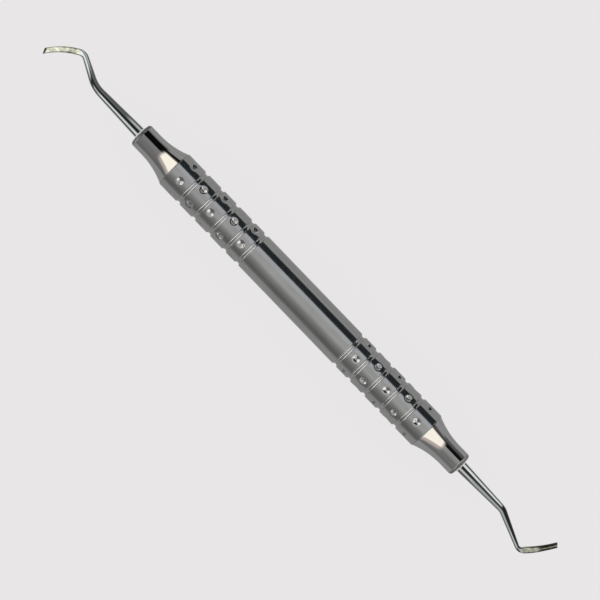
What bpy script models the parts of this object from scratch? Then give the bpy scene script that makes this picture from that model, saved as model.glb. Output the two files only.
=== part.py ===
"""Double-ended hand scaler with a hollow steel handle, built as its nine separate pieces.

The handle lies along X with its axis one handle radius above Z = 0. End A points to -X and
end B to +X. Along the handle, positions are distances from its middle; along a working end
they are distances from the flat face of the nose that holds it. Everything is in metres.
"""

import math

import bmesh
import bpy
from mathutils import Matrix, Vector

MM = 0.001
FIT_GAP = 0.1 * MM  # clearance modelled between pieces that are pressed or brazed together

# Handle, as distances from its middle
HANDLE_R = 5.0 * MM
BARREL_END = 16.85 * MM  # middle of the groove that hides the joint of barrel and grip
GROOVE_CENTRES = {
    "a": [21.2 * MM, 26.6 * MM, 31.8 * MM, 37.1 * MM],
    "b": [21.7 * MM, 26.7 * MM, 31.8 * MM, 37.3 * MM],
}
GROOVE_MOUTH = 1.30 * MM
GROOVE_DEPTH = 0.43 * MM
GRIP_END = 43.5 * MM  # where the dimpled grip stops and the nose begins
GRIP_LIP = 0.12 * MM  # edge broken at the mouth of the grip
NOSE_FACE = 55.2 * MM  # flat end face of the nose

# Hollow inside of the handle
BARREL_BORE_R = 4.2 * MM
GRIP_BORE_R = 4.0 * MM
GRIP_SPIGOT_BORE_R = 3.4 * MM
GRIP_SPIGOT_LENGTH = 5.0 * MM
GRIP_BORE_STEP = 1.0 * MM  # wall left behind the grip's shoulder, where the bore narrows
NOSE_SPIGOT_LENGTH = 5.0 * MM
SPIGOT_CHAMFER = 0.3 * MM

# Dimples: a ball-nosed cutter sunk into every band, the bands staggered by half a step
DIMPLES_PER_BAND = 6
DIMPLE_BALL_R = 1.56 * MM
DIMPLE_DEPTH = 0.55 * MM
DIMPLE_CENTRES = [19.4 * MM, 24.4 * MM, 29.75 * MM, 34.8 * MM, 40.25 * MM]
DIMPLE_TURN = {"a": math.radians(11.5), "b": math.radians(2.5)}  # how far each grip is turned

# Nose
NOSE_NECK_R = 3.23 * MM
NOSE_RIM_R = 4.86 * MM
NOSE_FLARE_R = 20.4 * MM  # radius of the hollow flare, tangent to the neck
NOSE_CORNER_R = 0.8 * MM
TANG_R = 1.2 * MM
TANG_LENGTH = 11.0 * MM
TANG_CHAMFER = 0.2 * MM
SHANK_SEAT_DEPTH = 2.5 * MM  # how far the full shank sits inside the nose
RING_SEAT_R = 2.0 * MM
RING_SEAT_DEPTH = 0.5 * MM
RING_FILLET = 0.35 * MM

# Working ends. Each path is a list of straights (length, None) and arcs (radius, new heading
# in degrees), where the heading turns from straight out (0) towards the heel side (+).
SHANK_ROOT_D = 2.95 * MM
ENDS = {
    "a": {
        "path": [
            (13.56 * MM, None),
            (8.8 * MM, 26.4),
            (5.15 * MM, None),
            (2.2 * MM, -31.0),
            (18.3 * MM, -58.0),
        ],
        "heel_d": 1.50 * MM,
        "blade_width": 1.56 * MM,
        "tip_width": 1.30 * MM,
        "tip_slant": math.radians(33),
    },
    "b": {
        "path": [
            (13.74 * MM, None),
            (4.0 * MM, 22.6),
            (8.65 * MM, None),
            (1.5 * MM, -47.0),
            (35.0 * MM, -60.8),
        ],
        "heel_d": 1.10 * MM,
        "blade_width": 1.60 * MM,
        "tip_width": 1.36 * MM,
        "tip_slant": math.radians(14),
    },
}
BLADE_THICKNESS = 0.90 * MM
TIP_THICKNESS = 0.62 * MM
TIP_BEVEL = 0.60 * MM  # length of the ground bevel at the tip
TIP_EDGE = 0.12 * MM  # thickness left at the cutting edge
GROUND_FLAT = 3.9 * MM  # flat behind the heel, before the back rises to a ridge
RIDGE_RUN = 0.6 * MM
RIDGE_SHARE = 0.45  # of the lower side's depth
BLADE_LIFT = 0.8 * MM  # how far the blade sweeps out of the plane of the bends
BLADE_ROLL = math.radians(10)

# Mesh fineness
TURNED_STEPS = 36
GROOVE_STEPS = 6
RING_STEPS = 24
FLARE_STEPS = 7
CORNER_STEPS = 4
BALL_SEGMENTS = 12
SECTION_POINTS = 16
ARC_STEP = math.radians(9)
BLADE_STEP = 0.9 * MM
SMOOTH_ANGLE = math.radians(32)

SIDES = {"a": -1, "b": 1}


def clear_scene():
    for obj in list(bpy.data.objects):
        bpy.data.objects.remove(obj, do_unlink=True)


def new_collection(name):
    collection = bpy.data.collections.new(name)
    bpy.context.scene.collection.children.link(collection)
    return collection


def steel(name, colour, roughness):
    """A Principled steel: the pieces differ in how finely they are polished."""
    material = bpy.data.materials.new(name)
    material.use_nodes = True
    shader = material.node_tree.nodes["Principled BSDF"]
    shader.inputs["Base Color"].default_value = (*colour, 1.0)
    shader.inputs["Metallic"].default_value = 1.0
    shader.inputs["Roughness"].default_value = roughness
    return material


def shade(mesh):
    """Smooth on the round surfaces, crisp along the machined edges."""
    mesh.shade_smooth()
    mesh.set_sharp_from_angle(angle=SMOOTH_ANGLE)


def realised(obj):
    """The object with its modifiers made part of its mesh."""
    graph = bpy.context.evaluated_depsgraph_get()
    mesh = bpy.data.meshes.new_from_object(obj.evaluated_get(graph))
    obj.modifiers.clear()
    obj.data = mesh
    obj.data.name = obj.name
    return obj


def handle_matrix(side, steps):
    """Turns a shape drawn along +Z so that it lies along the handle, a flat facet underneath."""
    lay_down = Matrix.Rotation(side * math.pi / 2, 4, "Y")
    half_facet = Matrix.Rotation(math.pi / steps, 4, "Z")
    return Matrix.Translation((0, 0, HANDLE_R)) @ lay_down @ half_facet


def turned(name, profile, side, material, collection, steps=TURNED_STEPS):
    """A closed profile of (radius, distance) points turned about the handle's axis."""
    mesh = bpy.data.meshes.new(name)
    count = len(profile)
    edges = [(i, (i + 1) % count) for i in range(count)]
    mesh.from_pydata([(radius, 0, along) for radius, along in profile], edges, [])
    mesh.materials.append(material)
    obj = bpy.data.objects.new(name, mesh)
    collection.objects.link(obj)
    screw = obj.modifiers.new("Turn", "SCREW")
    screw.axis = "Z"
    screw.angle = 2 * math.pi
    screw.steps = steps
    screw.render_steps = steps
    screw.use_merge_vertices = True
    screw.merge_threshold = 1e-6
    bpy.context.view_layer.update()
    realised(obj)
    shade(obj.data)
    obj.matrix_world = handle_matrix(side, steps)
    return obj


# ---- Handle barrel -----------------------------------------------------------------------


def groove_points(centre):
    """One round-bottomed groove, from its outer lip down to its root and up to its inner lip."""
    groove_r = (GROOVE_MOUTH**2 / 4 + GROOVE_DEPTH**2) / (2 * GROOVE_DEPTH)
    half_sweep = math.asin(GROOVE_MOUTH / 2 / groove_r)
    middle_r = HANDLE_R - GROOVE_DEPTH + groove_r
    points = []
    for i in range(GROOVE_STEPS + 1):
        turn = half_sweep * (1 - 2 * i / GROOVE_STEPS)
        points.append((middle_r - groove_r * math.cos(turn), centre + groove_r * math.sin(turn)))
    return points


def barrel_profile():
    """The plain tube between the two grips, running down into a groove at each end."""
    right = groove_points(BARREL_END)[GROOVE_STEPS // 2 :]
    left = [(radius, -along) for radius, along in reversed(right)]
    end = right[0][1]
    return right + left + [(BARREL_BORE_R, -end), (BARREL_BORE_R, end)]


# ---- Grips -------------------------------------------------------------------------------


def grip_profile(grooves):
    """Five bands between grooves, with a spigot at the inner end that enters the barrel."""
    end = GRIP_END - FIT_GAP / 2
    shoulder = BARREL_END + FIT_GAP
    spigot_r = BARREL_BORE_R - FIT_GAP
    spigot_end = shoulder - GRIP_SPIGOT_LENGTH
    bore_floor = shoulder + GRIP_BORE_STEP
    points = [(HANDLE_R - GRIP_LIP, end), (HANDLE_R, end - GRIP_LIP)]
    for centre in reversed(grooves):
        points += groove_points(centre)
    points += groove_points(BARREL_END)[: GROOVE_STEPS // 2]
    points += [
        (HANDLE_R - GROOVE_DEPTH, shoulder),
        (spigot_r, shoulder),
        (spigot_r, spigot_end + SPIGOT_CHAMFER),
        (spigot_r - SPIGOT_CHAMFER, spigot_end),
        (GRIP_SPIGOT_BORE_R, spigot_end),
        (GRIP_SPIGOT_BORE_R, bore_floor),
        (GRIP_BORE_R, bore_floor),
        (GRIP_BORE_R, end),
    ]
    return points


def dimple_directions(band, turn):
    """The angles round the axis, from straight up towards -Y, of one band's dimples."""
    step = 2 * math.pi / DIMPLES_PER_BAND
    stagger = step / 2 if band % 2 else 0.0
    return [turn + stagger + step * i for i in range(DIMPLES_PER_BAND)]


def dimple_cutter(end, collection):
    """One ball for every dimple of a grip, all in one cutter."""
    name = f"dimple_cutter_{end}"
    mesh = bpy.data.meshes.new(name)
    balls = bmesh.new()
    reach = HANDLE_R - DIMPLE_DEPTH + DIMPLE_BALL_R
    for band, along in enumerate(DIMPLE_CENTRES):
        for angle in dimple_directions(band, DIMPLE_TURN[end]):
            tilt = Matrix.Rotation(angle, 4, "X")
            place = Matrix.Translation((SIDES[end] * along, 0, HANDLE_R))
            bmesh.ops.create_uvsphere(
                balls,
                u_segments=BALL_SEGMENTS,
                v_segments=BALL_SEGMENTS // 2 + 2,
                radius=DIMPLE_BALL_R,
                matrix=place @ tilt @ Matrix.Translation((0, 0, reach)),
            )
    balls.to_mesh(mesh)
    balls.free()
    cutter = bpy.data.objects.new(name, mesh)
    collection.objects.link(cutter)
    cutter.hide_render = True
    cutter.display_type = "WIRE"
    return cutter


def grip(end, material, parts, cutters):
    """A grip sleeve turned to its profile, with the dimples cut into its bands."""
    profile = grip_profile(GROOVE_CENTRES[end])
    sleeve = turned(f"grip_sleeve_{end}", profile, SIDES[end], material, parts)
    cut = sleeve.modifiers.new("Dimples", "BOOLEAN")
    cut.operation = "DIFFERENCE"
    cut.object = dimple_cutter(end, cutters)
    bpy.context.view_layer.update()
    realised(sleeve)
    shade(sleeve.data)
    return sleeve


# ---- Noses -------------------------------------------------------------------------------


def flare_points():
    """The hollow flare from the neck out to the rim, an arc tangent to the neck."""
    rise = NOSE_RIM_R - NOSE_NECK_R
    sweep = math.acos(1 - rise / NOSE_FLARE_R)
    rim = GRIP_END + FIT_GAP / 2
    neck_start = rim + NOSE_FLARE_R * math.sin(sweep)
    points = []
    for i in range(FLARE_STEPS + 1):
        turn = sweep * i / FLARE_STEPS
        radius = NOSE_NECK_R + NOSE_FLARE_R * (1 - math.cos(turn))
        points.append((radius, neck_start - NOSE_FLARE_R * math.sin(turn)))
    return points


def corner_points():
    """The rounded corner between the end face and the neck."""
    points = []
    for i in range(CORNER_STEPS + 1):
        turn = math.pi / 2 * i / CORNER_STEPS
        radius = NOSE_NECK_R - NOSE_CORNER_R * (1 - math.sin(turn))
        points.append((radius, NOSE_FACE - NOSE_CORNER_R * (1 - math.cos(turn))))
    return points


def nose_profile():
    """The polished nose: end face, neck and flare outside, spigot and stepped bore inside."""
    rim = GRIP_END + FIT_GAP / 2
    spigot_r = GRIP_BORE_R - FIT_GAP
    spigot_end = rim - NOSE_SPIGOT_LENGTH
    seat_r = SHANK_ROOT_D / 2 + FIT_GAP
    tang_bore_r = TANG_R + FIT_GAP
    seat_floor = NOSE_FACE - SHANK_SEAT_DEPTH - FIT_GAP
    outer = corner_points() + flare_points()
    spigot = [
        (spigot_r, rim),
        (spigot_r, spigot_end + SPIGOT_CHAMFER),
        (spigot_r - SPIGOT_CHAMFER, spigot_end),
    ]
    bore = [
        (tang_bore_r, spigot_end),
        (tang_bore_r, seat_floor),
        (seat_r, seat_floor),
        (seat_r, NOSE_FACE - RING_SEAT_DEPTH),
        (RING_SEAT_R, NOSE_FACE - RING_SEAT_DEPTH),
        (RING_SEAT_R, NOSE_FACE),
    ]
    return outer + spigot + bore


# ---- Braze rings -------------------------------------------------------------------------


def ring_profile():
    """A ring of filler in its seat, rising in a small hollow fillet against the shank."""
    inner = SHANK_ROOT_D / 2 + FIT_GAP
    outer = RING_SEAT_R - FIT_GAP
    foot = NOSE_FACE - RING_SEAT_DEPTH + FIT_GAP
    return [
        (inner, NOSE_FACE + RING_FILLET),
        (inner + (outer - inner) * 0.3, NOSE_FACE + RING_FILLET * 0.42),
        (outer, NOSE_FACE + RING_FILLET * 0.1),
        (outer, foot),
        (inner, foot),
    ]


# ---- Working ends ------------------------------------------------------------------------


def walk(path):
    """Stations (out, across, heading, distance) along a path of straights and arcs."""
    out, across, heading, travelled = 0.0, 0.0, 0.0, 0.0
    stations = [(out, across, heading, travelled)]
    for size, new_heading in path:
        if new_heading is None:
            pieces, length, turn = 1, size, 0.0
        else:
            turn = math.radians(new_heading) - heading
            length = abs(turn) * size
            pieces = max(math.ceil(abs(turn) / ARC_STEP), math.ceil(length / BLADE_STEP))
        chord = length / pieces
        if turn:
            chord = 2 * size * math.sin(abs(turn) / pieces / 2)
        for _ in range(pieces):
            middle = heading + turn / pieces / 2
            out += chord * math.cos(middle)
            across += chord * math.sin(middle)
            heading += turn / pieces
            travelled += length / pieces
            stations.append((out, across, heading, travelled))
    return stations


def path_length(path):
    """The distance along a path, straights and arcs together."""
    return walk(path)[-1][3]


def blend(start, end, share):
    """Eases from start to end as share goes from 0 to 1."""
    share = min(max(share, 0.0), 1.0)
    share = share * share * (3 - 2 * share)
    return start + (end - start) * share


def section(width, top, bottom, flatness, ridge=0.0):
    """A closed section round the path: a circle that flattens, with a ridge rising below."""
    crisp = 2 / blend(2.0, 5.0, flatness)
    roof = RIDGE_SHARE * ridge
    points = []
    for i in range(SECTION_POINTS):
        angle = 2 * math.pi * i / SECTION_POINTS
        c, s = math.cos(angle), math.sin(angle)
        out = math.copysign(abs(c) ** crisp, c)
        rise = abs(s) ** crisp * top
        if s < 0:
            rise = -bottom * (abs(s) ** crisp * (1 - roof) + (1 - abs(out)) * roof)
        points.append((out * width / 2, rise))
    return points


def blade_stations(design):
    """Every station of a working end, from the nose's face to the tip, with its section."""
    path = design["path"]
    heel_start = path_length(path[:3])
    heel_end = path_length(path[:4])
    tip = path_length(path)
    stations = []
    for out, across, heading, travelled in walk(path):
        share = travelled / heel_start
        shank_d = SHANK_ROOT_D + (design["heel_d"] - SHANK_ROOT_D) * min(share, 1.0)
        into_blade = (travelled - heel_start) / (heel_end - heel_start + BLADE_STEP)
        along_blade = (travelled - heel_end) / (tip - heel_end)
        flatness = blend(0.0, 1.0, into_blade)
        width = blend(shank_d, design["blade_width"], into_blade)
        width = blend(width, design["tip_width"], along_blade)
        thickness = blend(BLADE_THICKNESS, TIP_THICKNESS, along_blade)
        half = blend(shank_d / 2, thickness / 2, into_blade)
        ridge = blend(0.0, 1.0, (travelled - heel_end - GROUND_FLAT) / RIDGE_RUN)
        stations.append(
            {
                "place": (out, across, blend(0.0, BLADE_LIFT, along_blade)),
                "heading": heading,
                "roll": BLADE_ROLL * flatness,
                "slant": 0.0,
                "section": section(width, half, half, flatness, ridge),
            }
        )
    return stations


def bevelled_tip(stations, design):
    """Cuts the end off on a slant and grinds its upper side down to an edge."""
    half = TIP_THICKNESS / 2
    last = stations[-1]
    lead = TIP_BEVEL
    out, across, up = last["place"]
    before = dict(last)
    before["place"] = (
        out - lead * math.cos(last["heading"]),
        across - lead * math.sin(last["heading"]),
        up,
    )
    before["slant"] = design["tip_slant"]
    edge = dict(last)
    edge["slant"] = design["tip_slant"]
    edge["section"] = section(design["tip_width"], TIP_EDGE - half, half, 1.0, 1.0)
    return stations[:-1] + [before, edge]


def tang_stations(root_section):
    """The shank inside the nose and the thinner tang behind it."""
    end_r = TANG_R - TANG_CHAMFER
    tang = section(2 * TANG_R, TANG_R, TANG_R, 0.0)
    tang_end = section(2 * end_r, end_r, end_r, 0.0)
    back = SHANK_SEAT_DEPTH + TANG_LENGTH
    chain = [
        (-back, tang_end),
        (-back + TANG_CHAMFER, tang),
        (-SHANK_SEAT_DEPTH, tang),
        (-SHANK_SEAT_DEPTH, root_section),
    ]
    return [
        {"place": (out, 0.0, 0.0), "heading": 0.0, "roll": 0.0, "slant": 0.0, "section": outline}
        for out, outline in chain
    ]


def placed(station, side):
    """A station's section in world coordinates. End B is end A's design turned inside out."""
    out, across, up = station["place"]
    heading, roll = station["heading"], station["roll"]
    along = Vector((math.cos(heading), math.sin(heading), 0))
    sideways = Vector((-math.sin(heading), math.cos(heading), 0))
    upwards = Vector((0, 0, 1))
    broad = sideways * math.cos(roll) + upwards * math.sin(roll)
    thick = upwards * math.cos(roll) - sideways * math.sin(roll)
    points = []
    for s, t in station["section"]:
        shear = along * (-math.tan(station["slant"]) * s)
        local = Vector((out, across, up)) + broad * s + thick * t + shear
        world = (NOSE_FACE + local.x, -local.y, -local.z)
        points.append(Vector(world) * side + Vector((0, 0, HANDLE_R)))
    return points


def working_end(end, material, collection):
    """The tang, shank and blade forged in one piece, lofted along its path."""
    design = ENDS[end]
    stations = blade_stations(design)
    stations = tang_stations(stations[0]["section"]) + bevelled_tip(stations, design)
    name = f"working_end_{end}"
    loft = bmesh.new()
    rings = [[loft.verts.new(point) for point in placed(s, SIDES[end])] for s in stations]
    for back, front in zip(rings[:-1], rings[1:]):
        for i in range(SECTION_POINTS):
            j = (i + 1) % SECTION_POINTS
            loft.faces.new((back[i], back[j], front[j], front[i]))
    loft.faces.new(list(reversed(rings[0])))
    loft.faces.new(rings[-1])
    if SIDES[end] < 0:
        bmesh.ops.reverse_faces(loft, faces=loft.faces)
    mesh = bpy.data.meshes.new(name)
    loft.to_mesh(mesh)
    loft.free()
    mesh.materials.append(material)
    shade(mesh)
    obj = bpy.data.objects.new(name, mesh)
    collection.objects.link(obj)
    return obj


def main():
    clear_scene()
    parts = new_collection("hand_scaler")
    cutters = new_collection("cutters")
    turned(
        "handle_barrel",
        barrel_profile(),
        1,
        steel("barrel_steel", (0.52, 0.52, 0.51), 0.28),
        parts,
    )
    for end, side in SIDES.items():
        grip(end, steel(f"grip_steel_{end}", (0.55, 0.55, 0.54), 0.24), parts, cutters)
        nose_steel = steel(f"nose_steel_{end}", (0.62, 0.62, 0.61), 0.08)
        turned(f"nose_cone_{end}", nose_profile(), side, nose_steel, parts)
        filler = steel(f"braze_{end}", (0.80, 0.79, 0.76), 0.18)
        turned(f"braze_ring_{end}", ring_profile(), side, filler, parts, RING_STEPS)
        working_end(end, steel(f"blade_steel_{end}", (0.66, 0.66, 0.63), 0.12), parts)


main()
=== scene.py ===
"""Looks of the double-ended hand scaler: finer surfaces, steel finishes and studio light.

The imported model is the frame. The handle lies along X with its axis one handle radius above
Z = 0, end A towards -X and end B towards +X. Distances along the handle are from its middle,
and along a working end from the flat face of the nose that holds it. Everything is in metres.
"""

import math

import bpy
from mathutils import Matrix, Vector

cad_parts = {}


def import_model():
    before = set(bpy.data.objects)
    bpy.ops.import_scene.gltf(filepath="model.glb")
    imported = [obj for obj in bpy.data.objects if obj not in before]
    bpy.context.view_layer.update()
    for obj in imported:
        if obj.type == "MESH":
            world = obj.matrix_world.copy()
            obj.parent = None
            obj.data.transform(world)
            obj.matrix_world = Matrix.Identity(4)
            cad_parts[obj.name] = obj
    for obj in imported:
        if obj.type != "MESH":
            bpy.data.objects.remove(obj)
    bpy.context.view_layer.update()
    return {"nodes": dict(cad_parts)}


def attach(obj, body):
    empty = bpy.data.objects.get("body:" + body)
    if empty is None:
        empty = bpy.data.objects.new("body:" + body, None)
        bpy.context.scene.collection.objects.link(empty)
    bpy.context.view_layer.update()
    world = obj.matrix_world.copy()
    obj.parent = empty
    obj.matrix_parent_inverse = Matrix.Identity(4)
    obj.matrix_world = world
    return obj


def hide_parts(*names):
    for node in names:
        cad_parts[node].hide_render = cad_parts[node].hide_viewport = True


MM = 0.001
SIDES = {"a": -1, "b": 1}

# ---- Sizes of the outer surfaces, the same as in the CAD solids ---------------------------

HANDLE_R = 5.0 * MM
BARREL_END = 16.85 * MM
GROOVE_CENTRES = {
    "a": [21.2 * MM, 26.6 * MM, 31.8 * MM, 37.1 * MM],
    "b": [21.7 * MM, 26.7 * MM, 31.8 * MM, 37.3 * MM],
}
GROOVE_MOUTH = 1.30 * MM
GROOVE_DEPTH = 0.43 * MM
GROOVE_LIP_R = 0.06 * MM
GRIP_END = 43.5 * MM
GRIP_LIP = 0.12 * MM
NOSE_FACE = 55.2 * MM
SEAM_GAP = 0.03 * MM
WALL = 0.5 * MM  # depth of the skin below the root of a groove

DIMPLES_PER_BAND = 6
DIMPLE_R = 1.22 * MM
DIMPLE_DEPTH = 0.55 * MM
DIMPLE_CENTRES = [19.4 * MM, 24.4 * MM, 29.75 * MM, 34.8 * MM, 40.25 * MM]
DIMPLE_TURN = {"a": math.radians(11.5), "b": math.radians(2.5)}

NOSE_NECK_R = 3.23 * MM
NOSE_RIM_R = 4.86 * MM
NOSE_FLARE_R = 20.4 * MM
NOSE_CORNER_R = 0.8 * MM
NOSE_EDGE_BREAK = 0.04 * MM
SEAT_EDGE_BREAK = 0.03 * MM
RING_SEAT_R = 2.0 * MM
RING_SEAT_DEPTH = 0.5 * MM
RING_FILLET = 0.35 * MM
RING_INNER_GAP = 0.01 * MM
RING_OUTER_GAP = 0.02 * MM

SHANK_ROOT_D = 2.95 * MM
SHANK_SEAT_DEPTH = 2.4 * MM
# A path is made of straights (length, None) and bends (radius, new heading in degrees).
ENDS = {
    "a": {
        "path": [
            (13.56 * MM, None),
            (8.8 * MM, 26.4),
            (5.15 * MM, None),
            (2.2 * MM, -31.0),
            (18.3 * MM, -58.0),
        ],
        "heel_d": 1.50 * MM,
        "blade_width": 1.56 * MM,
        "tip_width": 1.30 * MM,
        "tip_slant": math.radians(33),
    },
    "b": {
        "path": [
            (13.74 * MM, None),
            (4.0 * MM, 22.6),
            (8.65 * MM, None),
            (1.5 * MM, -47.0),
            (35.0 * MM, -60.8),
        ],
        "heel_d": 1.10 * MM,
        "blade_width": 1.60 * MM,
        "tip_width": 1.36 * MM,
        "tip_slant": math.radians(14),
    },
}
BLADE_THICKNESS = 0.90 * MM
TIP_THICKNESS = 0.62 * MM
TIP_BEVEL = 0.60 * MM
TIP_EDGE = 0.12 * MM
SLANT_START = 1.6 * MM  # before the tip
SLANT_RUN = 1.0 * MM
FLATTENING_PAST_HEEL = 0.9 * MM
GROUND_FLAT = 3.9 * MM  # from the end of the heel's bend to the start of the ridge
RIDGE_RUN = 0.6 * MM
RIDGE_SHARE = 0.45  # of the lower side's depth
BLADE_LIFT = 0.8 * MM
BLADE_ROLL = math.radians(10)

# The straw colour of the ground steel starts just before the end of the heel's bend.
STRAW_START = -0.3 * MM
STRAW_RUN = 0.4 * MM

# ---- Mesh fineness ------------------------------------------------------------------------

ROUND_STEPS = 192
BAND_STEP = 0.13 * MM
SECTION_POINTS = 48
ARC_STEP = math.radians(3)
PATH_STEP = 0.25 * MM
NECK_STEP = 0.4 * MM
BARREL_STEP = 2.0 * MM
SHARP_ANGLE = math.radians(50)
SAME_RADIUS = 1e-7


# ---- Mesh helpers -------------------------------------------------------------------------


def mesh_piece(name, points, faces):
    """A smooth-shaded mesh object whose flat faces keep their own direction."""
    mesh = bpy.data.meshes.new(name)
    mesh.from_pydata(points, [], faces)
    mesh.shade_smooth()
    obj = bpy.data.objects.new(name, mesh)
    bpy.context.scene.collection.objects.link(obj)
    flats = obj.modifiers.new("Even shading", "WEIGHTED_NORMAL")
    flats.keep_sharp = True
    return obj


def arc(centre, radius, start, end, steps):
    """Points of an arc in the (along, radius) plane, angles in degrees."""
    points = []
    for i in range(steps + 1):
        angle = math.radians(start + (end - start) * i / steps)
        along = centre[0] + radius * math.cos(angle)
        points.append((along, centre[1] + radius * math.sin(angle)))
    return points


def spread(start, end, step):
    """Evenly spaced distances between start and end, neither included."""
    count = max(1, math.ceil(abs(end - start) / step))
    return [start + (end - start) * i / count for i in range(1, count)]


def revolved(name, profile, side, sink=None):
    """A closed profile of (along, radius) points, outer side first, turned about the handle.

    sink says how far the surface lies below the handle's full radius at (along, angle).
    """
    points = []
    for along, radius in profile:
        full = sink and abs(radius - HANDLE_R) < SAME_RADIUS
        for i in range(ROUND_STEPS):
            angle = 2 * math.pi * i / ROUND_STEPS
            r = radius - sink(along, angle) if full else radius
            y, z = -r * math.sin(angle), HANDLE_R + r * math.cos(angle)
            points.append((side * along, y, z))
    faces = []
    for j in range(len(profile)):
        k = (j + 1) % len(profile)
        for i in range(ROUND_STEPS):
            h = (i + 1) % ROUND_STEPS
            corners = [j * ROUND_STEPS + i, j * ROUND_STEPS + h]
            corners += [k * ROUND_STEPS + h, k * ROUND_STEPS + i]
            faces.append(corners if side > 0 else corners[::-1])
    return mesh_piece(name, points, faces)


# ---- Handle -------------------------------------------------------------------------------


def groove(centre):
    """The two halves of a round-bottomed groove with its edges just broken."""
    groove_r = (GROOVE_MOUTH**2 / 4 + GROOVE_DEPTH**2) / (2 * GROOVE_DEPTH)
    reach = groove_r + GROOVE_LIP_R
    height = reach - GROOVE_DEPTH
    lip = math.sqrt(reach**2 - height**2)
    slope = math.degrees(math.asin(lip / reach))
    middle_r, lip_r = HANDLE_R - GROOVE_DEPTH + groove_r, HANDLE_R - GROOVE_LIP_R
    inner = arc((centre - lip, lip_r), GROOVE_LIP_R, 90, 90 - slope, 4)
    inner += arc((centre, middle_r), groove_r, 270 - slope, 270, 10)[1:]
    outer = arc((centre, middle_r), groove_r, 270, 270 + slope, 10)[:-1]
    outer += arc((centre + lip, lip_r), GROOVE_LIP_R, 90 + slope, 90, 4)
    return inner, outer


def barrel_profile():
    """The plain tube, its ends running down into the innermost groove at each end."""
    right = groove(BARREL_END)[0]
    left = [(-along, radius) for along, radius in reversed(right)]
    start = right[0][0]
    middle = [(along, HANDLE_R) for along in spread(-start, start, BARREL_STEP)]
    end, root = right[-1]
    return left + middle + right + [(end, root - WALL), (-end, root - WALL)]


def grip_profile(grooves):
    """Five bands between grooves, from the shoulder at the barrel out to the nose."""
    root = HANDLE_R - GROOVE_DEPTH
    shoulder = BARREL_END + SEAM_GAP
    end = GRIP_END - SEAM_GAP / 2
    points = [(shoulder, root - WALL), (shoulder, root)] + groove(BARREL_END)[1][1:]
    for centre in grooves:
        inner, outer = groove(centre)
        band = spread(points[-1][0], inner[0][0], BAND_STEP)
        points += [(along, HANDLE_R) for along in band] + inner + outer[1:]
    last_lip = arc((end - GRIP_LIP, HANDLE_R - GRIP_LIP), GRIP_LIP, 90, 0, 5)
    band = spread(points[-1][0], last_lip[0][0], BAND_STEP)
    points += [(along, HANDLE_R) for along in band]
    return points + last_lip + [(end, root - WALL)]


def dimple_sink(end):
    """The depth of one grip's dimples, their edges polished round, at (along, angle)."""
    step = 2 * math.pi / DIMPLES_PER_BAND

    def sink(along, angle):
        for band, centre in enumerate(DIMPLE_CENTRES):
            first = DIMPLE_TURN[end] + (step / 2 if band % 2 else 0.0)
            off = (angle - first + step / 2) % step - step / 2
            away = math.hypot(along - centre, HANDLE_R * off)
            if away < DIMPLE_R:
                return DIMPLE_DEPTH / 2 * (1 + math.cos(math.pi * away / DIMPLE_R))
        return 0.0

    return sink


# ---- Noses and braze rings ----------------------------------------------------------------


def nose_profile():
    """The flared, polished nose with its rounded end face."""
    rim = GRIP_END + SEAM_GAP / 2
    sweep = math.degrees(math.acos(1 - (NOSE_RIM_R - NOSE_NECK_R) / NOSE_FLARE_R))
    neck_start = rim + NOSE_FLARE_R * math.sin(math.radians(sweep))
    neck_end = NOSE_FACE - NOSE_CORNER_R
    flare = arc((neck_start, NOSE_NECK_R + NOSE_FLARE_R), NOSE_FLARE_R, 270 - sweep, 270, 40)
    corner = arc((neck_end, NOSE_NECK_R - NOSE_CORNER_R), NOSE_CORNER_R, 90, 0, 10)
    neck = [(along, NOSE_NECK_R) for along in spread(neck_start, neck_end, NECK_STEP)]
    edge = [(rim, NOSE_RIM_R - 2 * WALL), (rim, NOSE_RIM_R - NOSE_EDGE_BREAK)]
    flare[0] = (rim + NOSE_EDGE_BREAK, flare[0][1])
    seat_floor = NOSE_FACE - RING_SEAT_DEPTH
    seat = [(NOSE_FACE, RING_SEAT_R + SEAT_EDGE_BREAK)]
    seat.append((NOSE_FACE - SEAT_EDGE_BREAK, RING_SEAT_R))
    bore = [(seat_floor, RING_SEAT_R), (seat_floor, SHANK_ROOT_D / 2 + SEAM_GAP)]
    return edge + flare + neck + corner + seat + bore + [(rim, SHANK_ROOT_D / 2 + SEAM_GAP)]


def ring_profile():
    """The ring of filler metal, rising in a slope against the shank with both edges soft."""
    inner = SHANK_ROOT_D / 2 + RING_INNER_GAP
    outer = RING_SEAT_R - RING_OUTER_GAP
    foot = NOSE_FACE - RING_SEAT_DEPTH + SEAM_GAP
    points = [(foot, inner), (foot, outer)]
    for i in range(13):
        share = i / 12
        rise = blend(0.1 * RING_FILLET, RING_FILLET, share)
        points.append((NOSE_FACE + rise, outer + (inner - outer) * share))
    return points


# ---- Working ends -------------------------------------------------------------------------


def walk(path):
    """Stations (out, across, heading, distance) along a path of straights and arcs."""
    out, across, heading, travelled = 0.0, 0.0, 0.0, 0.0
    stations = [(out, across, heading, travelled)]
    for size, new_heading in path:
        turn = 0.0 if new_heading is None else math.radians(new_heading) - heading
        length = size if new_heading is None else abs(turn) * size
        pieces = max(math.ceil(abs(turn) / ARC_STEP), math.ceil(length / PATH_STEP))
        for _ in range(pieces):
            middle = heading + turn / pieces / 2
            out += length / pieces * math.cos(middle)
            across += length / pieces * math.sin(middle)
            heading += turn / pieces
            travelled += length / pieces
            stations.append((out, across, heading, travelled))
    return stations


def path_length(path):
    """The distance along a path, straights and arcs together."""
    return walk(path)[-1][3]


def blend(start, end, share):
    """Eases from start to end as share goes from 0 to 1."""
    share = min(max(share, 0.0), 1.0)
    share = share * share * (3 - 2 * share)
    return start + (end - start) * share


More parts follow.
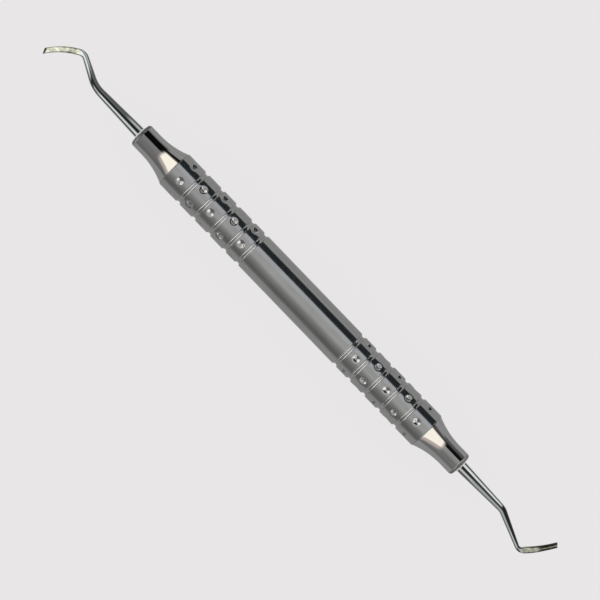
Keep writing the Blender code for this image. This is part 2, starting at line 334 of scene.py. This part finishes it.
def section(width, top, bottom, flatness, ridge=0.0):
    """A closed section round the path: a circle that flattens, with a low ridge below.

    top and bottom are its depths above and below the path. flatness and ridge go from 0 to 1.
    """
    crisp = 2 / blend(2.0, 5.0, flatness)
    roof = RIDGE_SHARE * ridge
    points = []
    for i in range(SECTION_POINTS):
        angle = 2 * math.pi * i / SECTION_POINTS
        c, s = math.cos(angle), math.sin(angle)
        out = math.copysign(abs(c) ** crisp, c)
        rise = abs(s) ** crisp * top
        if s < 0:
            rise = -bottom * (abs(s) ** crisp * (1 - roof) + (1 - abs(out)) * roof)
        points.append((out * width / 2, rise))
    return points


def blade_stations(design):
    """Every station of a working end, from the nose's face to the tip, with its section."""
    path = design["path"]
    heel_start = path_length(path[:3])
    heel_end = path_length(path[:4])
    tip = path_length(path)
    stations = []
    for out, across, heading, travelled in walk(path):
        share = travelled / heel_start
        shank_d = SHANK_ROOT_D + (design["heel_d"] - SHANK_ROOT_D) * min(share, 1.0)
        flattening = heel_end - heel_start + FLATTENING_PAST_HEEL
        into_blade = (travelled - heel_start) / flattening
        along_blade = (travelled - heel_end) / (tip - heel_end)
        flatness = blend(0.0, 1.0, into_blade)
        width = blend(shank_d, design["blade_width"], into_blade)
        width = blend(width, design["tip_width"], along_blade)
        thickness = blend(BLADE_THICKNESS, TIP_THICKNESS, along_blade)
        half = blend(shank_d / 2, thickness / 2, into_blade)
        ridge = blend(0.0, 1.0, (travelled - heel_end - GROUND_FLAT) / RIDGE_RUN)
        # The bevel takes the upper side down to an edge over the last stretch.
        bevel = min(max((travelled - (tip - TIP_BEVEL)) / TIP_BEVEL, 0.0), 1.0)
        top = half + (TIP_EDGE - 2 * half) * bevel
        slanting = blend(0.0, 1.0, (travelled - tip + SLANT_START) / SLANT_RUN)
        straw = blend(0.0, 1.0, (travelled - heel_end - STRAW_START) / STRAW_RUN)
        stations.append(
            {
                "place": (out, across, blend(0.0, BLADE_LIFT, along_blade)),
                "heading": heading,
                "roll": BLADE_ROLL * flatness,
                "slant": design["tip_slant"] * slanting,
                "section": section(width, top, half, flatness, ridge),
                "straw": straw,
            }
        )
    root = dict(stations[0])
    root["place"] = (-SHANK_SEAT_DEPTH, 0.0, 0.0)
    return [root] + stations


def placed(station, side):
    """A station's section in world coordinates. End B is end A's design turned inside out."""
    out, across, up = station["place"]
    heading, roll = station["heading"], station["roll"]
    along = Vector((math.cos(heading), math.sin(heading), 0))
    sideways = Vector((-math.sin(heading), math.cos(heading), 0))
    upwards = Vector((0, 0, 1))
    broad = sideways * math.cos(roll) + upwards * math.sin(roll)
    thick = upwards * math.cos(roll) - sideways * math.sin(roll)
    points = []
    for s, t in station["section"]:
        shear = along * (-math.tan(station["slant"]) * s)
        local = Vector((out, across, up)) + broad * s + thick * t + shear
        world = Vector((NOSE_FACE + local.x, -local.y, -local.z))
        points.append(world * side + Vector((0, 0, HANDLE_R)))
    return points


def working_end(end):
    """Shank and blade in one smooth loft, with how straw-coloured the steel is at each point."""
    side = SIDES[end]
    points, faces = [], []
    stations = blade_stations(ENDS[end])
    for station in stations:
        points += placed(station, side)
    n = SECTION_POINTS
    for j in range(len(stations) - 1):
        for i in range(n):
            h = (i + 1) % n
            quad = [j * n + i, j * n + h, (j + 1) * n + h, (j + 1) * n + i]
            faces.append(quad if side > 0 else quad[::-1])
    first = list(range(n))
    last = [(len(stations) - 1) * n + i for i in range(n)]
    faces.append(first[::-1] if side > 0 else first)
    faces.append(last if side > 0 else last[::-1])
    piece = mesh_piece(f"blade_and_shank_{end}", points, faces)
    piece.data.set_sharp_from_angle(angle=SHARP_ANGLE)
    straw = piece.data.attributes.new("straw", "FLOAT", "POINT")
    straw.data.foreach_set("value", [s["straw"] for s in stations for _ in range(n)])
    return piece


# ---- Steel --------------------------------------------------------------------------------

RIM_FADE = 0.15 * MM


class Nodes:
    """A material's node tree, with short calls to add and join nodes."""

    def __init__(self, name):
        self.material = bpy.data.materials.new(name)
        self.material.use_nodes = True
        self.tree = self.material.node_tree
        self.shader = self.tree.nodes["Principled BSDF"]

    def add(self, kind, **settings):
        node = self.tree.nodes.new(kind)
        for key, value in settings.items():
            setattr(node, key, value)
        return node

    def join(self, source, target):
        self.tree.links.new(source, target)

    def noise(self, scale, detail=2.0, roughness=0.5):
        """Noise over object coordinates in metres, stretched by the three scales."""
        place = self.add("ShaderNodeTexCoord")
        stretch = self.add("ShaderNodeMapping")
        stretch.inputs["Scale"].default_value = scale
        noise = self.add("ShaderNodeTexNoise")
        noise.inputs["Scale"].default_value = 1.0
        noise.inputs["Detail"].default_value = detail
        noise.inputs["Roughness"].default_value = roughness
        self.join(place.outputs["Object"], stretch.inputs["Vector"])
        self.join(stretch.outputs["Vector"], noise.inputs["Vector"])
        return noise.outputs["Fac"]

    def ranged(self, value, low, high, start=0.3, end=0.7):
        """A value mapped from start..end to low..high."""
        ramp = self.add("ShaderNodeMapRange")
        ramp.inputs["From Min"].default_value = start
        ramp.inputs["From Max"].default_value = end
        ramp.inputs["To Min"].default_value = low
        ramp.inputs["To Max"].default_value = high
        self.join(value, ramp.inputs["Value"])
        return ramp.outputs["Result"]

    def mixed(self, share, first, second):
        """A colour between two, by share."""
        mix = self.add("ShaderNodeMix", data_type="RGBA")
        mix.inputs["A"].default_value = (*first, 1.0)
        mix.inputs["B"].default_value = (*second, 1.0)
        self.join(share, mix.inputs["Factor"])
        return mix.outputs["Result"]

    def added(self, first, second):
        total = self.add("ShaderNodeMath", operation="ADD")
        self.join(first, total.inputs[0])
        self.join(second, total.inputs[1])
        return total.outputs["Value"]

    def beyond(self, start, end):
        """0 nearer the handle's middle than start and 1 beyond end."""
        place = self.add("ShaderNodeTexCoord")
        apart = self.add("ShaderNodeSeparateXYZ")
        self.join(place.outputs["Object"], apart.inputs["Vector"])
        size = self.add("ShaderNodeMath", operation="ABSOLUTE")
        self.join(apart.outputs["X"], size.inputs[0])
        return self.ranged(size.outputs["Value"], 0.0, 1.0, start, end)

    def tint(self, share, colour):
        """Blends a colour, given as an output, into the base colour by share."""
        mix = self.add("ShaderNodeMix", data_type="RGBA")
        self.join(share, mix.inputs["Factor"])
        self.join(self.colour, mix.inputs["A"])
        self.join(colour, mix.inputs["B"])
        self.join(mix.outputs["Result"], self.shader.inputs["Base Color"])

    def bump(self, height, strength, distance):
        bump = self.add("ShaderNodeBump")
        bump.inputs["Strength"].default_value = strength
        bump.inputs["Distance"].default_value = distance
        self.join(height, bump.inputs["Height"])
        self.join(bump.outputs["Normal"], self.shader.inputs["Normal"])


def steel(name, dark, light, rough, grain, grain_depth, blotch, metallic=1.0):
    """Steel or another metal with a polishing grain.

    dark and light are the colours that cloud into each other, rough the least and greatest
    roughness, grain the stretch of the polishing lines, grain_depth their depth in metres and
    blotch the stretch of the clouds.
    """
    made = Nodes(name)
    clouds = made.noise(blotch, detail=3.0)
    lines = made.noise(grain, detail=4.0, roughness=0.6)
    made.shader.inputs["Metallic"].default_value = metallic
    made.colour = made.mixed(made.ranged(clouds, 0.0, 1.0), dark, light)
    made.join(made.colour, made.shader.inputs["Base Color"])
    spread_lines = made.ranged(lines, -0.5, 0.5)
    made.rough = made.ranged(made.added(clouds, spread_lines), *rough, -0.1, 1.1)
    made.join(made.rough, made.shader.inputs["Roughness"])
    made.bump(lines, 0.3, grain_depth)
    return made


def brazed_rim(made, start):
    """The heat of brazing has left the steel beyond start darker and duller."""
    share = made.beyond(start, start + RIM_FADE)
    clouds = made.noise((1200, 1200, 1200), detail=3.0)
    made.tint(share, made.mixed(clouds, (0.38, 0.38, 0.38), (0.47, 0.465, 0.46)))
    dulled = made.ranged(share, 0.0, 0.6, 0.0, 1.0)
    made.join(made.added(made.rough, dulled), made.shader.inputs["Roughness"])


def straw_blade(made):
    """Where the blade is ground, the steel turns straw-coloured and duller, in soft patches."""
    straw = made.add("ShaderNodeAttribute", attribute_name="straw").outputs["Fac"]
    patches = made.ranged(made.noise((900, 1400, 1400), detail=2.0), 0.0, 1.0, 0.35, 0.65)
    made.tint(straw, made.mixed(patches, (0.34, 0.345, 0.26), (0.76, 0.76, 0.62)))
    dulled = made.ranged(straw, 0.08, 0.15, 0.0, 1.0)
    made.join(dulled, made.shader.inputs["Roughness"])


# ---- Studio -------------------------------------------------------------------------------

WHITE = (1.0, 1.0, 1.0)
CREAM = (1.0, 0.95, 0.84)
PINK = (1.0, 0.86, 0.80)
COOL = (0.8, 1.0, 1.1)
BLUE = (0.96, 1.0, 1.06)


def card(x, low, high, soft, brightness, tint=WHITE):
    """A box or card hung in an arch, from x[0] to x[1] mm.

    low and high are the degrees of its two long edges, each at x[0] and at x[1], and soft the
    width of its edges along x in mm and round the arch in degrees.
    """
    return {"x": x, "low": low, "high": high, "soft": soft, "glow": Vector(tint) * brightness}


# The light tent: brightness by degrees from straight up towards +Y, then what hangs in it
TENT_R = 150 * MM
TENT_LENGTH = (-700 * MM, 700 * MM)
TENT_STEP = 3 * MM
TENT_REACH = 91
TENT_BASE = [
    (-110, 0.36),
    (-92, 0.33),
    (-80, 0.18),
    (-64, 0.16),
    (-50, 0.23),
    (-35, 0.30),
    (-24, 0.42),
    (-14, 0.53),
    (0, 0.51),
    (14, 0.51),
    (28, 0.60),
    (40, 0.58),
    (80, 0.40),
    (110, 0.36),
]
TENT_CARDS = [
    card((-700, -120), (-120, -120), (120, 120), (12, 4), 1.4),
    card((120, 700), (-120, -120), (120, 120), (12, 4), 1.4),
    card((-235, 235), (20, 20), (60, 60), (6, 10), 0.60, BLUE),
    card((-235, 235), (40, 40), (79, 79), (6, 1.5), 0.03, COOL),
]

# A hood over each nose, where the polished flare looks outwards
HOOD_R = 32 * MM
HOOD_START = 49 * MM
HOOD_END = 76 * MM
HOOD_REACH = 95
FINE_STEP = 0.5 * MM
HOOD_BASE = {
    "a": [
        (-95, 0.40),
        (-88, 0.36),
        (-77, 0.18),
        (-66, 0.18),
        (-54, 0.21),
        (-20, 0.24),
        (-10, 0.27),
        (10, 0.29),
        (17, 0.29),
        (20, 0.005),
        (68, 0.005),
        (72, 0.16),
        (80, 0.24),
        (90, 0.42),
    ],
    "b": [
        (-95, 0.42),
        (-88, 0.38),
        (-77, 0.24),
        (-66, 0.20),
        (-54, 0.23),
        (-20, 0.25),
        (-10, 0.35),
        (14, 0.42),
        (21, 0.38),
        (23, 0.005),
        (47, 0.01),
        (55, 0.10),
        (78, 0.16),
        (87, 0.42),
    ],
}
HOOD_CARDS = {
    "a": [
        card((-76, -59), (72, 64), (84, 84), (2, 3), 0.36),
        card((-76, -60), (-88, -34), (42, 40), (3, 30), 0.7, PINK),
        card((-76, -60.5), (-56, -10), (42, 40), (2, 8), 1.5, CREAM),
    ],
    "b": [
        card((59, 76), (64, 72), (84, 84), (2, 3), 0.36),
        card((58.5, 76), (-34, -88), (40, 42), (3, 30), 0.7, PINK),
        card((59, 76), (-8, -56), (40, 42), (2, 8), 1.5, CREAM),
    ],
}

# A small arch over each shank and blade
SLEEVE_R = 12 * MM
SLEEVE_START = 56 * MM
SLEEVE_END = 170 * MM
SLEEVE_REACH = 112
SLEEVE_BASE = {
    "a": [
        (-96, 0.06),
        (-86, 0.12),
        (-78, 0.30),
        (-72, 0.95),
        (-36, 1.00),
        (-26, 0.03),
        (20, 0.02),
        (33, 0.50),
        (40, 0.62),
        (72, 0.60),
        (80, 0.25),
        (90, 0.08),
    ],
    "b": [
        (-92, 0.08),
        (-74, 0.20),
        (-66, 0.35),
        (-58, 0.85),
        (-32, 0.85),
        (-14, 0.03),
        (28, 0.03),
        (38, 1.10),
        (72, 1.20),
        (82, 0.30),
        (92, 0.08),
    ],
}
SLEEVE_CARDS = {
    "a": [
        card((-95, -77.5), (-36, -36), (16, 16), (2, 10), 1.3),
        card((-90, -71), (-84, -84), (-46, -46), (3, 10), 0.35),
        card((-79.5, -75), (-85, -85), (-24, -24), (1.5, 8), 0.05),
        card((-73, -61), (28, 28), (84, 84), (3, 8), 0.16),
        card((-170, -94), (-112, -112), (112, 112), (3, 10), 0.06),
    ],
    "b": [
        card((61, 74), (-84, -84), (-24, -24), (3, 8), 0.55),
        card((61, 72), (-16, -16), (30, 30), (3, 6), 0.07),
        card((71, 88), (-14, -4), (112, 112), (2, 6), 0.03),
        card((88, 170), (-112, -112), (112, 112), (3, 6), 0.05),
        card((80.5, 94), (-32, -18), (-4, 14), (1.5, 5), 0.65),
        card((79, 84), (-95, -95), (-36, -36), (1.5, 6), 0.04),
    ],
}


def lerp_table(table, value):
    """The value between two rows of a table, holding the end rows beyond them."""
    for (x0, y0), (x1, y1) in zip(table[:-1], table[1:]):
        if value <= x1:
            share = min(max((value - x0) / (x1 - x0), 0.0), 1.0)
            return y0 + (y1 - y0) * share
    return table[-1][1]


def inside(value, low, high, soft):
    """1 well between low and high, 0 well outside, easing over soft at both edges."""
    near = min(value - low, high - value)
    return blend(0.0, 1.0, near / soft + 0.5)


def arch_light(x, a, base, cards):
    """The colour of an arch at x mm and a degrees."""
    level = lerp_table(base, a)
    colour = Vector((level, level, level))
    for hung in cards:
        x0, x1 = hung["x"]
        share = min(max((x - x0) / (x1 - x0), 0.0), 1.0)
        low = hung["low"][0] + (hung["low"][1] - hung["low"][0]) * share
        high = hung["high"][0] + (hung["high"][1] - hung["high"][0]) * share
        cover = inside(x, x0, x1, hung["soft"][0]) * inside(a, low, high, hung["soft"][1])
        colour = colour.lerp(hung["glow"], cover)
    return colour


def glow_material(name):
    """Emission in each point's own colour."""
    material = bpy.data.materials.new(name)
    material.use_nodes = True
    tree = material.node_tree
    tree.nodes.clear()
    glow = tree.nodes.new("ShaderNodeEmission")
    tint = tree.nodes.new("ShaderNodeAttribute")
    tint.attribute_name = "glow"
    out = tree.nodes.new("ShaderNodeOutputMaterial")
    tree.links.new(tint.outputs["Color"], glow.inputs["Color"])
    tree.links.new(glow.outputs["Emission"], out.inputs["Surface"])
    material.cycles.emission_sampling = "NONE"
    return material


def reflections_only(obj):
    """Seen only in the steel: it neither hides anything from the camera nor lights the floor."""
    obj.visible_camera = False
    obj.visible_diffuse = False
    obj.visible_shadow = False
    obj.visible_transmission = False
    obj.visible_volume_scatter = False


def arch(name, radius, length, step, reach, base, cards):
    """A tunnel over the instrument along the handle's axis, open below its reach in degrees."""
    xs = [length[0]] + spread(*length, step) + [length[1]]
    angles = [i - reach for i in range(2 * reach + 1)]
    points, colours = [], []
    for x in xs:
        for a in angles:
            turn = math.radians(a)
            points.append((x, radius * math.sin(turn), HANDLE_R + radius * math.cos(turn)))
            colours.append(arch_light(x / MM, a, base, cards))
    n = len(angles)
    faces = [
        (j * n + i, (j + 1) * n + i, (j + 1) * n + i + 1, j * n + i + 1)
        for j in range(len(xs) - 1)
        for i in range(n - 1)
    ]
    mesh = bpy.data.meshes.new(name)
    mesh.from_pydata(points, [], faces)
    glow = mesh.attributes.new("glow", "FLOAT_COLOR", "POINT")
    for item, colour in zip(glow.data, colours):
        item.color = (*colour, 1.0)
    mesh.materials.append(glow_material(name))
    obj = bpy.data.objects.new(name, mesh)
    bpy.context.scene.collection.objects.link(obj)
    reflections_only(obj)


BACKGROUND = (0.811, 0.796, 0.804)
FLOOR_SHARE = 0.06  # how much of the floor's brightness is light that it catches
FLOOR_SEEN_IN_STEEL = 0.36


def plane(name, half, height, material):
    """A square plane reaching half its side each way."""
    mesh = bpy.data.meshes.new(name)
    corners = [(-half, -half, height), (half, -half, height)]
    corners += [(half, half, height), (-half, half, height)]
    mesh.from_pydata(corners, [], [(0, 1, 2, 3)])
    mesh.materials.append(material)
    obj = bpy.data.objects.new(name, mesh)
    bpy.context.scene.collection.objects.link(obj)
    return obj


def studio():
    """A pale, evenly lit floor, a pale surround and the light tent."""
    surface = Nodes("pale_floor")
    shader = surface.shader.inputs
    shader["Base Color"].default_value = (*[c * FLOOR_SHARE for c in BACKGROUND], 1.0)
    shader["Roughness"].default_value = 1.0
    shader["Specular IOR Level"].default_value = 0.0
    shader["Emission Color"].default_value = (*BACKGROUND, 1.0)
    shader["Emission Strength"].default_value = 1.0 - FLOOR_SHARE * 0.8
    floor = plane("studio_floor", 3.0, -0.0002, surface.material)
    floor.visible_glossy = False

    under = bpy.data.materials.new("floor_in_steel")
    under.use_nodes = True
    glow = under.node_tree.nodes["Principled BSDF"].inputs
    glow["Base Color"].default_value = (0.0, 0.0, 0.0, 1.0)
    glow["Specular IOR Level"].default_value = 0.0
    glow["Emission Color"].default_value = (*[FLOOR_SEEN_IN_STEEL] * 3, 1.0)
    glow["Emission Strength"].default_value = 1.0
    reflections_only(plane("studio_floor_in_steel", 3.0, -0.0004, under))

    world = bpy.data.worlds.new("pale_surround")
    world.use_nodes = True
    back = world.node_tree.nodes["Background"].inputs
    back["Color"].default_value = (*BACKGROUND, 1.0)
    back["Strength"].default_value = 1.0
    bpy.context.scene.world = world
    arch("studio_tent", TENT_R, TENT_LENGTH, TENT_STEP, TENT_REACH, TENT_BASE, TENT_CARDS)
    for end, side in SIDES.items():
        length = sorted((side * HOOD_START, side * HOOD_END))
        name, base, cards = f"studio_hood_{end}", HOOD_BASE[end], HOOD_CARDS[end]
        arch(name, HOOD_R, length, FINE_STEP, HOOD_REACH, base, cards)
        length = sorted((side * SLEEVE_START, side * SLEEVE_END))
        name, base, cards = f"studio_sleeve_{end}", SLEEVE_BASE[end], SLEEVE_CARDS[end]
        arch(name, SLEEVE_R, length, FINE_STEP, SLEEVE_REACH, base, cards)


CAMERA_TURN = math.radians(46.04)
CAMERA_LENS = 200.0
CAMERA_SENSOR = 36.0
CAMERA_PLACE = (-0.02 * MM, -0.10 * MM)
FRAME_WIDTH = 143.7 * MM


def camera():
    """Straight above the instrument, turned so that the handle runs from corner to corner."""
    data = bpy.data.cameras.new("camera")
    data.lens = CAMERA_LENS
    data.sensor_width = CAMERA_SENSOR
    obj = bpy.data.objects.new("camera", data)
    bpy.context.scene.collection.objects.link(obj)
    height = FRAME_WIDTH * CAMERA_LENS / CAMERA_SENSOR
    obj.location = (*CAMERA_PLACE, HANDLE_R + height)
    obj.rotation_euler = (0, 0, CAMERA_TURN)
    data.clip_end = 10.0
    bpy.context.scene.camera = obj


# ---- Assembly -----------------------------------------------------------------------------


def dress(piece, metal, node):
    """The piece stands for a CAD node, with its own material."""
    piece.data.materials.append(metal.material)
    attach(piece, "root")
    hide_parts(node)


def main():
    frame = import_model()
    for node in frame["nodes"].values():
        node.data.materials.clear()

    satin = steel(
        "satin_steel",
        dark=(0.54, 0.535, 0.53),
        light=(0.60, 0.598, 0.59),
        rough=(0.10, 0.16),
        grain=(5200, 260, 260),
        grain_depth=0.000002,
        blotch=(160, 420, 420),
    )
    mirror = steel(
        "mirror_steel",
        dark=(0.60, 0.60, 0.595),
        light=(0.64, 0.638, 0.63),
        rough=(0.02, 0.06),
        grain=(2600, 300, 300),
        grain_depth=0.0000004,
        blotch=(300, 500, 500),
    )
    silver = steel(
        "silver_braze",
        dark=(0.90, 0.90, 0.87),
        light=(0.97, 0.97, 0.95),
        rough=(0.34, 0.46),
        grain=(3000, 3000, 3000),
        grain_depth=0.000001,
        blotch=(900, 900, 900),
        metallic=0.25,
    )
    forged = steel(
        "polished_blade_steel",
        dark=(0.55, 0.585, 0.575),
        light=(0.62, 0.66, 0.65),
        rough=(0.06, 0.12),
        grain=(900, 900, 900),
        grain_depth=0.000002,
        blotch=(260, 500, 500),
    )

    brazed_rim(mirror, NOSE_FACE - NOSE_CORNER_R)
    straw_blade(forged)

    dress(revolved("barrel", barrel_profile(), 1), satin, "handle_barrel")
    for end, side in SIDES.items():
        profile = grip_profile(GROOVE_CENTRES[end])
        grip = revolved(f"grip_{end}", profile, side, dimple_sink(end))
        dress(grip, satin, f"grip_sleeve_{end}")
        nose = revolved(f"nose_{end}", nose_profile(), side)
        dress(nose, mirror, f"nose_cone_{end}")
        ring = revolved(f"ring_{end}", ring_profile(), side)
        dress(ring, silver, f"braze_ring_{end}")
        dress(working_end(end), forged, f"working_end_{end}")

    studio()
    camera()
    scene = bpy.context.scene
    scene.view_settings.view_transform = "Standard"
    scene.view_settings.look = "None"


main()
